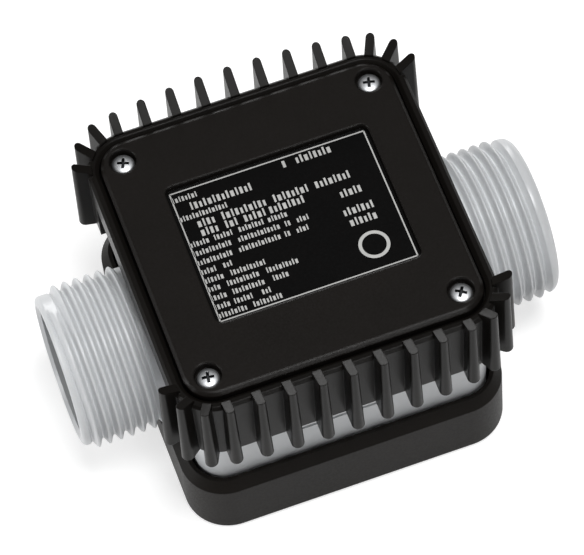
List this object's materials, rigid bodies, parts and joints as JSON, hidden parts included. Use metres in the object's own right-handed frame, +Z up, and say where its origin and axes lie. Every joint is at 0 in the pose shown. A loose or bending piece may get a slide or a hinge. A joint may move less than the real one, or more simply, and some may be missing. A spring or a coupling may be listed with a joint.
{
  "type": "turbine flow meter",
  "caption": "In-line turbine flow meter with a pulse pick-up: threaded flow body, finned square housing, screwed lid with a recessed label, and base shell.",
  "frame": {"origin": "centre of the base shell's underside, below the middle of the flow axis", "axes": "+X along the flow from inlet to outlet, +Y to the back, +Z up through the lid"},
  "size_m": [0.1, 0.0752, 0.0516],
  "materials": {
    "pale_plastic": "satin",
    "black_plastic": "satin",
    "label_film": "gloss",
    "rubber": "matte",
    "zinc_screw": "bright",
    "board_green": "satin",
    "white_plastic": "satin",
    "reed_glass": "clear",
    "green_plastic": "satin",
    "resistor_tan": "satin",
    "rotor_plastic": "satin",
    "magnet_nickel": "bright",
    "bush_carbon": "matte",
    "steel": "brushed"
  },
  "bodies": {
    "meter": {"meter_body": "pale_plastic", "finned_housing": "black_plastic", "top_lid": "black_plastic", "label_plate": "label_film", "lid_gasket": "rubber", "base_shell": "black_plastic", "lid_screws": "zinc_screw", "base_screws": "zinc_screw", "circuit_board": "board_green", "board_spacers": "white_plastic", "board_screws": "zinc_screw", "reed_switch": "reed_glass", "terminal_block": "green_plastic", "pulse_resistor": "resistor_tan", "cable_grommet": "rubber", "inlet_spider": "white_plastic", "outlet_spider": "white_plastic", "thrust_washers": "bush_carbon", "rotor_shaft": "steel", "inlet_snap_ring": "steel", "outlet_snap_ring": "steel"},
    "rotor": {"turbine_rotor": "rotor_plastic", "rotor_magnets": "magnet_nickel", "rotor_bushes": "bush_carbon"}
  },
  "joints": [
    {"name": "rotor_spin", "type": "hinge", "parent": "meter", "child": "rotor", "pos_m": [0, 0, 0.023], "axis": [1, 0, 0], "continuous": true}
  ]
}
